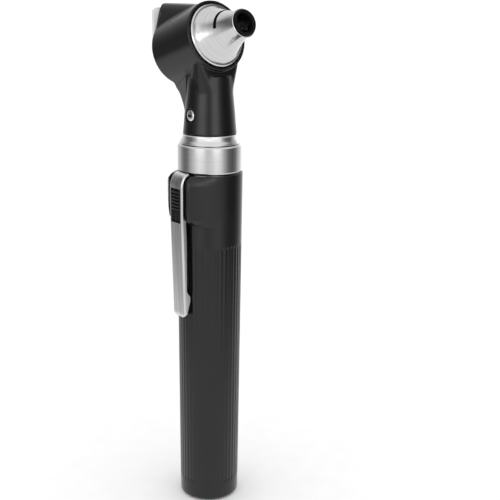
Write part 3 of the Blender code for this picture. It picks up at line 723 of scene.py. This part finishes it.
def project(field, points, rounds=4, probe=0.01, reach=0.15):
    """Moves points onto the field's zero surface."""
    for _ in range(rounds):
        value = field(*points.T)
        slope = np.zeros_like(points)
        for k in range(3):
            shift = np.zeros(3)
            shift[k] = probe
            slope[:, k] = (field(*(points + shift).T) - field(*(points - shift).T)) / (2 * probe)
        size = np.maximum((slope ** 2).sum(1), 0.1)
        step = np.clip(value / size, -reach, reach)
        points = points - slope * step[:, None]
    return points


# ---------------------------------------------------------------- handle sleeve

def sleeve_field(x, y, z):
    """Signed distance to the handle sleeve's surface, negative inside its wall."""
    r = np.hypot(x, y)
    wall = SLEEVE_R[0] + (SLEEVE_R[1] - SLEEVE_R[0]) * z / SLEEVE_TOP
    turn = np.arctan2(y, x) * FLUTES
    across = (turn - TURN * np.round(turn / TURN)) / FLUTES * wall
    beyond = np.maximum(np.maximum(z - FLUTE_Z[1], FLUTE_Z[0] - z), 0.0)
    near = np.minimum(np.hypot(across, beyond) / FLUTE_HALF, 1.0)
    body = r - wall + FLUTE_DEPTH * 0.5 * (1.0 + np.cos(math.pi * near))
    body = round_and(body, -z, 1.0)
    body = round_and(body, z - SLEEVE_TOP, 0.2)
    face = np.interp(z, BOSS_Z, BOSS_FACE)
    corner = np.hypot(np.maximum(face, 10.2), BOSS_HALF)
    bulge = corner ** 2 / (2.0 * BOSS_CURVE)
    share = (corner - np.sqrt(corner ** 2 - 4.0 * bulge * (wall - bulge))) / (2.0 * bulge)
    spread = np.arccos(np.minimum(share, 1.0)) + np.arctan2(BOSS_HALF, face)
    flank = -x * np.cos(spread) + np.abs(y) * np.sin(spread) - wall
    along = -x * np.sin(spread) - np.abs(y) * np.cos(spread)
    flank = flank + np.maximum(along, 0.0) ** 2 / (2.0 * BOSS_CURVE)
    boss = np.maximum(round_and(-x - face, flank, 0.7), -along)
    boss = np.maximum(boss, np.maximum(z - SLEEVE_TOP, BOSS_Z[0] - z))
    shape = np.minimum(body, boss)
    bore = np.minimum(np.maximum(r - 7.5, 2.5 - z), np.maximum(r - 8.75, 97.4 - z))
    channel = box_field(x, y, z, (-8.35, -1.8, 2.5), (0.0, 1.8, 97.5))
    shape = cut_out(shape, np.minimum(bore, channel), 0.15)
    slope = (x + RECESS_FACE) * 0.841 - (z - RECESS_TOP) * 0.541
    floor = np.where(z > RECESS_TOP, np.maximum(slope, x + 9.5), x + RECESS_FACE)
    recess = np.maximum(np.maximum(floor, np.abs(y) - 4.25), 90.0 - z)
    sides = box_field(x, np.abs(y), z, (-14.0, 2.65, 90.05), (-10.85, 4.2, 102.0))
    pocket = box_field(x, y, z, (-10.7, -2.5, 92.6), (-9.9, 2.5, 102.2))
    mouth = box_field(x, y, z, (-11.35, -1.9, 92.65), (-10.6, 1.9, 102.15))
    slot = box_field(x, y, z, (-10.0, -1.2, 92.9), (-8.2, 1.2, 101.3))
    for tool in (recess, sides, pocket, mouth, slot):
        shape = cut_out(shape, tool, 0.1)
    return shape


def round_place(angle, z, r):
    return r * np.cos(angle), r * np.sin(angle), z


def handle_sleeve(materials):
    angles = np.arange(FLUTES * 8) * TURN / (FLUTES * 8)
    heights = np.concatenate([np.arange(-0.3, 7.6, 0.25), np.arange(7.8, 82.0, 0.9),
                              np.arange(82.2, 89.0, 0.25), np.arange(89.2, 106.6, 0.28)])
    radii = np.concatenate([[0.15, 1.5, 3.0, 4.5, 6.0, 6.8], np.arange(7.1, 13.1, 0.24)])
    settle(surface("handle_sleeve_skin", sleeve_field, round_place, (angles, heights, radii), True),
           "handle_sleeve", materials)


# ---------------------------------------------------------------- clip and switch

def clip_path():
    """Outer surface of the clip from its lower end over the hood, as (distance from the handle's
    axis, z, depth of the flanges, half width)."""
    low = CLIP_Z[0]
    depth_z = (low, 62.6, 63.5, 67.0, 67.8, 68.6, 69.5, 70.4, 86.0, 92.0, 101.6, 102.5)
    edge_x = (11.30, 11.05, 10.80, 9.75, 9.60, 9.75, 10.45, 10.95, 10.95, 11.2, 11.2, 11.3)
    stations = []
    start = 102.3
    heights = list(np.linspace(low, low + 1.6, 7)) + list(np.linspace(64.2, 71.0, 18))
    heights += list(range(73, 92, 3)) + [CLIP_FLAT_Z + 0.5 * i for i in range(20)] + [start]
    for z in heights:
        face = CLIP_FACE - max(0.0, CLIP_FLAT_Z - z) * CLIP_SLOPE
        depth = face - float(np.interp(z, depth_z, edge_x))
        corner = max(0.0, CLIP_CORNER - (z - low))
        half = CLIP_HALF - CLIP_CORNER + math.sqrt(max(CLIP_CORNER ** 2 - corner ** 2, 0.0))
        curl = 0.28 * max(0.0, 1.0 - (z - low) / 1.1) ** 2
        stations.append((face - curl, z, depth - curl, max(half, 1.9)))
    root, steps = 10.0, 16
    reach, rise = CLIP_FACE - root, CLIP_Z[1] - start
    for i in range(1, steps + 1):
        angle = math.pi / 2 * i / steps
        x, z = root + reach * math.cos(angle), start + rise * math.sin(angle)
        stations.append((x, z, 1.45 - 0.62 * (i / steps) ** 1.5, CLIP_HALF))
    return stations


def pocket_clip(materials):
    stations = clip_path()
    bend, steps = 0.6, 6
    sections = []
    for i, (x, z, depth, half) in enumerate(stations):
        before, after = stations[max(i - 1, 0)], stations[min(i + 1, len(stations) - 1)]
        along = Vector((after[0] - before[0], after[1] - before[1])).normalized()
        inward = Vector((-along.y, along.x))
        depth = max(depth, bend + 0.08)
        outer = [(half, depth)]
        for step in range(steps + 1):
            angle = math.pi / 2 * step / steps
            outer.append((half - bend + bend * math.cos(angle), bend - bend * math.sin(angle)))
        inner = [(half - CLIP_SHEET, depth)]
        inside = bend - CLIP_SHEET
        for step in range(steps + 1):
            angle = math.pi / 2 * step / steps
            inner.append((half - bend + inside * math.cos(angle), bend - inside * math.sin(angle)))
        ring = outer + [(-u, d) for u, d in reversed(outer)] + [(-u, d) for u, d in inner]
        ring += [(u, d) for u, d in reversed(inner)]
        sections.append([Vector((-(x + inward.x * d), u, z + inward.y * d)) for u, d in ring])
    clip = make_object("pocket_clip_sheet", loft(sections), angle=40.0)
    low, high = WINDOW_Z
    aside = 20.0                # rounded() works on one side of its axis only
    corners = [(aside + WINDOW_HALF, low), (aside + WINDOW_HALF, high), (aside - WINDOW_HALF, high),
               (aside - WINDOW_HALF, low)]
    outline = rounded(corners, 0.35)
    tool = loft([[Vector((x, u - aside, z)) for u, z in outline] for x in (-14.0, -11.9)])
    cut(clip, tool, angle=40.0)
    settle(clip, "pocket_clip", materials)


def ribbed_plate(low, high):
    """The plate below the slider, which fills the rest of the clip's window."""
    back, root, tip, half, count = 11.65, 11.9, 12.08, 2.6, 8
    outline = [(back, low), (root, low)]
    pitch = (high - low) / count
    for rib in range(count):
        for share, x in ((0.2, root), (0.4, tip), (0.6, tip), (0.8, root)):
            outline.append((x, low + (rib + share) * pitch))
    outline += [(root, high), (back, high)]
    return loft([[Vector((-x, y, z)) for x, z in outline] for y in (-half, half)])


def switch_slider(materials):
    low, high = SLIDER_Z
    pitch = (high - low) / RIBS
    root, tip = KNOB_FACE - 0.5, KNOB_FACE
    outline = [(11.0, low), (root, low)]
    crest = ((0.16, root), (0.30, tip - 0.04), (0.42, tip), (0.58, tip), (0.70, tip - 0.04),
             (0.84, root))
    for rib in range(RIBS):
        for share, x in crest:
            outline.append((x, low + (rib + share) * pitch))
    outline += [(root, high), (11.0, high)]
    half, edge = WINDOW_HALF - 0.25, 0.14
    sections = []
    middle = (low + high) / 2.0
    for y, inset in ((-half, edge), (-half + 0.04, 0.06), (-half + edge, 0.0), (half - edge, 0.0),
                     (half - 0.04, 0.06), (half, edge)):
        ring = []
        for x, z in outline:
            share = (z - middle) / (high - low)
            ring.append(Vector((-(x - inset * (x > 11.5)), y, z - 2.0 * inset * share)))
        sections.append(ring)
    knob = make_object("switch_slider_knob", loft(sections), angle=30.0)
    stem = make_object("switch_slider_stem", bar((-11.05, -1.55, low + 0.4), (-10.2, 1.55, high - 0.4)))
    rim = make_object("switch_slider_rim", bar((-10.4, -2.2, low + 0.1), (-10.15, 2.2, high - 0.1)))
    skirt = make_object("switch_slider_skirt", ribbed_plate(91.2, low + 0.3))
    for piece in (stem, rim, skirt):
        piece.parent = knob
        piece.data.materials.append(materials["switch_plastic"])
    settle(knob, "switch_slider", materials)


# ---------------------------------------------------------------- metal turned pieces

def collar(materials):
    low, high = 106.2, 114.42
    r = 9.65
    skirt = [(8.45, 98.0), (8.45, low), (r - 0.22, low)]
    band = [(r - 0.22, low), (r, low + 0.5), (r, high - 0.5), (r - 0.35, high - 0.1), (r - 0.55, high),
            (6.45, high)]
    profile = rounded(skirt, 0.1, closed=False)[:-1] + rounded(band, 0.09, closed=False)
    profile += [(6.45, 110.6), (7.55, 110.6), (7.55, 98.0)]
    settle(make_object("collar_turned", lathe(profile, 160), angle=28.0), "collar", materials)


def neck_base(materials):
    high = 117.36
    flare = smooth_curve([(9.08, 114.8), (8.86, 115.2), (8.56, 115.7), (8.31, 116.2), (8.13, 116.7),
                          (8.06, 116.98)], 5)
    bead = [(8.04 + 0.17 * math.sin(math.pi * i / 8), 117.02 + 0.17 * (1.0 - math.cos(math.pi * i / 8)))
            for i in range(9)]
    profile = [(5.85, 111.0), (6.15, 111.3), (6.15, 114.62), (8.98, 114.62)] + flare + bead
    profile += [(5.9, high), (5.9, 124.5), (2.6, 124.5), (2.6, 119.0),
                (3.3, 119.0), (3.3, 115.4), (4.3, 115.4), (4.3, 111.0)]
    obj = make_object("neck_base_turned", lathe(rounded(profile, 0.08, 3), 160), angle=32.0)
    settle(obj, "neck_base", materials)


def cone_radius(s):
    """Outer radius of the cone's concave flare at s along the sight axis."""
    t = min(max((s - CONE_START) / (CONE_END - CONE_START), 0.0), 1.0)
    return 4.0 + 4.2 * (1.0 - t) ** 1.75


def speculum_cone(materials):
    stations = [CONE_START + (12.2 - CONE_START) * i / 40.0 for i in range(41)]
    rim = rounded([(9.15, -1.2), (9.15, 0.12), (8.86, 0.5), (8.66, 0.52), (8.52, 0.34), (8.36, 0.74),
                   (8.08, 1.3)], 0.07, closed=False)
    outer = rim + [(cone_radius(s), s) for s in stations if s > 1.5]
    outer += rounded([(4.02, 12.3), (4.12, 12.4), (4.12, CONE_END - 0.1), (3.95, CONE_END)], 0.06,
                     closed=False)
    inner = [(3.4, CONE_END)] + [(cone_radius(s) - CONE_WALL, s) for s in reversed(stations)]
    inner += [(7.5, 0.0), (7.5, -3.9), (8.3, -3.9), (8.3, -3.3), (7.95, -3.1), (7.95, -2.3),
              (8.3, -2.1), (8.3, -1.2)]
    cone = make_object("speculum_cone_spun", lathe(outer + inner, 160), FRAME)
    first, last, steps = 177.0, 80.0, 36
    sections = []
    for i in range(steps + 1):
        angle = math.radians(first + (last - first) * i / steps)
        ring = []
        for radius, side in ((4.8, -1), (7.2, -1), (7.2, 1), (4.8, 1)):
            s = SLOT_S + side * SLOT_HALF
            ring.append(Vector((radius * math.cos(angle), radius * math.sin(angle), s)))
        sections.append(ring)
    cut(cone, loft(sections), FRAME, 30.0)
    settle(cone, "speculum_cone", materials)
    cone.data.materials[0] = materials["cone_aluminium"]
    # The slot's cut walls get the black material: painted shade, where the real cone shows bare
    # aluminium.
    cone.data.materials.append(materials["inner_black"])
    for face in cone.data.polygons:
        spot = FRAME.inverted() @ face.center / MM
        depth = cone_radius(spot.z) - math.hypot(spot.x, spot.y)
        if abs(spot.z - SLOT_S) < SLOT_HALF + 0.02 and 0.03 < depth < CONE_WALL - 0.03:
            face.material_index = 1


def sight_tube(materials):
    section = [(6.1, -4.6), (6.1, -1.0), (5.8, 0.9), (4.35, 6.3), (3.4, 10.5), (3.05, 12.2),
               (3.05, 13.1), (3.69, 13.1), (3.69, 13.42), (3.58, 13.5), (3.08, 13.5), (2.75, 12.9),
               (2.6, 11.9), (2.85, 10.5), (3.75, 6.3), (5.2, 0.9), (5.6, -1.0), (5.6, -4.6)]
    obj = make_object("sight_tube_turned", lathe(rounded(section, 0.08, 4), 128), FRAME, 40.0)
    settle(obj, "sight_tube", materials)


def cone_seal(materials):
    angles = [TURN * i / 20 for i in range(20)]
    ring = [(8.27 + 0.25 * math.cos(a), -2.7 + 0.28 * math.sin(a)) for a in angles]
    settle(make_object("cone_seal_ring", lathe(ring, 96), FRAME, 60.0), "cone_seal", materials)


def screw_recess(half, width, low, high):
    """The two bars of a cross recess, shorter at its floor."""
    bars = []
    for turn in (0.0, math.pi / 2):
        c, s = math.cos(turn), math.sin(turn)
        rings = []
        for height, reach in ((low, 0.55 * half), (high, 1.15 * half)):
            ring = [(-reach, -width), (reach, -width), (reach, width), (-reach, width)]
            rings.append([Vector((u * c - v * s, u * s + v * c, height)) for u, v in ring])
        bars.append(loft(rings))
    return bars


def neck_screw(materials):
    side = Matrix.Translation((0, 0, SCREW_Z * MM)) @ Matrix.Rotation(-math.pi / 2, 4, "Y")
    radius, edge, rise = 1.7, 7.12, 0.43
    angles = [math.pi / 2 * i / 8 for i in range(8)]
    dome = [(radius * math.cos(a), edge + rise * math.sin(a)) for a in angles]
    profile = [(0.0, 4.4), (0.8, 4.4), (0.8, 6.7), (radius, 6.7)] + dome + [(0.0, edge + rise)]
    screw = make_object("neck_screw_head", lathe(profile, 64, closed=False), side, 30.0)
    for slot in screw_recess(1.1, 0.3, 6.95, 7.8):
        cut(screw, slot, side, 30.0)
    settle(screw, "neck_screw", materials)
    # The faces inside the cross recess get the black material: painted shade in the recess of the steel
    # screw.
    screw.data.materials.append(materials["inner_black"])
    for face in screw.data.polygons:
        spot = side.inverted() @ face.center / MM
        reach = math.hypot(spot.x, spot.y)
        top = edge + rise * math.sqrt(max(1.0 - (reach / radius) ** 2, 0.0))
        if 6.9 < spot.z < top - 0.04 and reach < 1.55:
            face.material_index = 1


# ---------------------------------------------------------------- magnifier

def lens_outline():
    half = [(0.0, -9.6), (2.6, -9.3), (4.6, -8.1), (6.2, -6.0), (7.6, -2.6), (8.3, 1.2), (8.2, 5.0),
            (7.1, 11.2), (6.7, 12.95), (5.5, 13.8), (3.0, 13.85)]
    half = smooth_curve(half, 5)
    return half + [(-x, y) for x, y in reversed(half[1:])]


def at_height(h):
    """The sight frame moved up by h."""
    return FRAME @ Matrix.Translation((0.0, h * MM, 0.0))


def lens_plate(materials):
    levels = edge_levels(LENS_REAR, LENS_FRONT, 0.22)
    obj = make_object("lens_plate_sheet", slab(lens_outline(), levels), FRAME, 40.0)
    low, high = LENS_REAR - 1.0, LENS_FRONT + 1.0
    for radius, segments, height in ((6.3, 96, LENS_EYE_H), (1.05, 40, PIVOT_H)):
        hole = [(0.0, low), (radius, low), (radius, high), (0.0, high)]
        cut(obj, lathe(hole, segments, closed=False), at_height(height), 40.0)
    settle(obj, "lens_plate", materials)


def magnifier_lens(materials):
    radius, crown, steps = 6.0, 1.1, 16
    profile = [(0.0, LENS_FRONT), (radius - 0.1, LENS_FRONT), (radius, LENS_FRONT - 0.1),
               (radius, LENS_REAR + 0.1)]
    for i in range(1, steps):
        angle = math.pi / 2 * i / steps
        profile.append((radius * math.cos(angle), LENS_REAR - crown * math.sin(angle)))
    profile.append((0.0, LENS_REAR - crown))
    parts = lathe(profile, 96, closed=False)
    obj = make_object("magnifier_lens_ground", parts, at_height(LENS_EYE_H), 40.0)
    settle(obj, "magnifier_lens", materials)


def lens_fixings(materials):
    pin = at_height(PIVOT_H)
    washer = rounded([(1.9, LENS_REAR - 0.65), (1.9, LENS_REAR - 0.3), (1.05, LENS_REAR - 0.3),
                      (1.05, LENS_REAR - 0.65)], 0.08)
    settle(make_object("lens_washer_ring", lathe(washer, 64), pin, 40.0), "lens_washer", materials)
    seat, end = LENS_REAR - 0.95, -BARREL_LENGTH + 4.2
    angles = [math.pi / 2 * i / 8 for i in range(9)]
    dome = [(1.6 * math.sin(a), seat - 0.3 - 0.45 * math.cos(a)) for a in angles]
    profile = dome + [(1.6, seat), (0.7, seat), (0.7, end), (0.0, end)]
    screw = make_object("lens_screw_head", lathe(profile, 64, closed=False), pin, 30.0)
    cut(screw, bar((-2.0, -0.2, seat - 2.0), (2.0, 0.2, seat - 0.4)), pin, 30.0)
    settle(screw, "lens_screw", materials)


# ---------------------------------------------------------------- head shell

def gusset_planes():
    """Planes of the hull from the front of the neck's waist to the underside of the barrel's front:
    the x, y and z of each one's normal, and its offset."""
    bm = bmesh.new()
    for degrees in range(205, 336, 5):
        angle = math.radians(degrees)
        for height, radius in ((129.1, 6.86), (135.5, 4.6)):
            bm.verts.new((radius * math.cos(angle), radius * math.sin(angle), height))
    for s in (-0.7, -3.0):
        for degrees in range(220, 321, 4):
            angle = math.radians(degrees)
            radius = BARREL_R - 0.15
            above, across = radius * math.sin(angle), radius * math.cos(angle)
            bm.verts.new((across, SIGHT.y - s * math.cos(TILT) + above * math.sin(TILT),
                          SIGHT.z + s * math.sin(TILT) + above * math.cos(TILT)))
    for x in (-WEB_WIDEST + 0.05, WEB_WIDEST - 0.05):
        for height in (130.0, 137.0):
            bm.verts.new((x, 1.5, height))
    bmesh.ops.convex_hull(bm, input=bm.verts)
    bm.normal_update()
    centre = Vector((0.0, 0.0, 0.0))
    for vert in bm.verts:
        centre += vert.co / len(bm.verts)
    planes = {}
    for face in bm.faces:
        normal = face.normal.copy()
        offset = normal.dot(face.verts[0].co)
        if normal.dot(centre) > offset:
            normal, offset = -normal, -offset
        planes[tuple(round(v, 3) for v in (*normal, offset))] = (*normal, offset)
    bm.free()
    return list(planes.values())


GUSSET = gusset_planes()
ROOF_HALF = ((0.0, 0.0), (2.7, 0.0), (3.6, -0.3), (4.35, -1.1), (5.0, -2.1), (8.3, -9.3))
WEB = smooth_curve([(15.9, 132.4), (14.0, 131.35), (12.3, 130.37), (9.03, 128.75), (6.87, 126.76),
                    (5.5, 125.08), (4.3, 122.8)], 4) + [(-2.0, 123.0), (-2.0, 138.0), (15.9, 138.0)]


def head_field(x, y, z):
    """Signed distance to the head shell's surface, negative inside its wall."""
    r = np.hypot(x, y)
    neck = r - np.interp(z, NECK_Z, NECK_R)
    neck = round_and(neck, NECK_Z[0] - z, 0.15)
    neck = round_and(neck, z - NECK_Z[-1], 0.2)
    dy, dz = y - SIGHT.y, z - SIGHT.z
    s = -dy * math.cos(TILT) + dz * math.sin(TILT)
    h = dy * math.sin(TILT) + dz * math.cos(TILT)
    out = np.hypot(x, h)
    barrel = round_and(out - BARREL_R, s, 0.3)
    gusset = np.zeros(x.shape)
    for nx, ny, nz, offset in GUSSET:
        gusset += np.exp(np.minimum((nx * x + ny * y + nz * z - offset) / SOFTNESS, 60.0))
    gusset = SOFTNESS * np.log(np.maximum(gusset, 1e-30))
    half = np.minimum(WEB_HALF + WEB_TAPER * (WEB_MIDDLE - y), WEB_WIDEST)
    web = round_and(polygon_field(WEB, y, z), np.abs(x) - half, 0.35)
    top = np.interp(y, ROOF_Y, ROOF_Z)
    roof = z - top
    for (u0, v0), (u1, v1) in zip(ROOF_HALF[1:], ROOF_HALF[2:]):
        size = math.hypot(u1 - u0, v1 - v0)
        side = ((np.abs(x) - u0) * (v0 - v1) + (z - top - v0) * (u1 - u0)) / size
        roof = round_and(roof, side, 0.25)
    roof = np.maximum(np.maximum(roof, ROOF_Y[0] - y), 142.5 - z)
    shape = round_or(round_or(barrel, web, 1.2), neck, 0.12)
    shape = round_or(shape, gusset, 0.3)
    shape = round_or(shape, roof, 0.25)
    shape = round_and(shape, -BARREL_LENGTH - s, 0.3)
    seat = np.maximum(np.maximum(out - 8.6, -4.2 - s), s - 3.0)
    counter = np.maximum(out - 9.45, -1.5 - s)
    share = (-3.6 - s) / (BARREL_LENGTH - 3.6)
    chamber = np.maximum(np.hypot(x, h - 0.1 - 3.1 * share) - 6.7 - 0.3 * share, s + 3.6)
    for tool in (seat, counter, chamber):
        shape = cut_out(shape, tool, 0.12)
    ferrule = np.minimum(np.maximum(r - 6.2, z - 124.8), np.maximum(r - 4.2, z - 140.2))
    across = np.hypot(y, z - SCREW_Z)
    screw = np.minimum(across - 1.1, np.maximum(across - 2.0, x + 6.4))
    screw = np.maximum(screw, x + 4.0)
    pivot = np.maximum(np.hypot(x, h - PIVOT_H) - 0.95, s + BARREL_LENGTH - 4.6)
    for tool in (ferrule, screw, pivot):
        shape = cut_out(shape, tool, 0.1)
    return shape


def head_shell(materials):
    low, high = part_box("head_shell")
    step = 0.3
    axes = [np.arange(low[k] / MM - 1.0, high[k] / MM + 1.0, step) for k in range(3)]
    skin = surface("head_shell_skin", head_field, lambda x, y, z: (x, y, z), axes)
    settle(skin, "head_shell", materials)


# ---------------------------------------------------------------- main

def main():
    add_camera()
    add_world()
    add_floor()
    bpy.context.scene.view_settings.view_transform = "Standard"
    materials = make_materials()
    for part in frame["record"]["subparts"]:
        node = frame["nodes"][part["node"]]
        for slot in node.material_slots:
            slot.material = materials[part["material_slot"]]
    for build in (handle_sleeve, pocket_clip, switch_slider, collar, neck_base, speculum_cone,
                  sight_tube, cone_seal, neck_screw, lens_plate, magnifier_lens, lens_fixings,
                  head_shell):
        build(materials)


main()
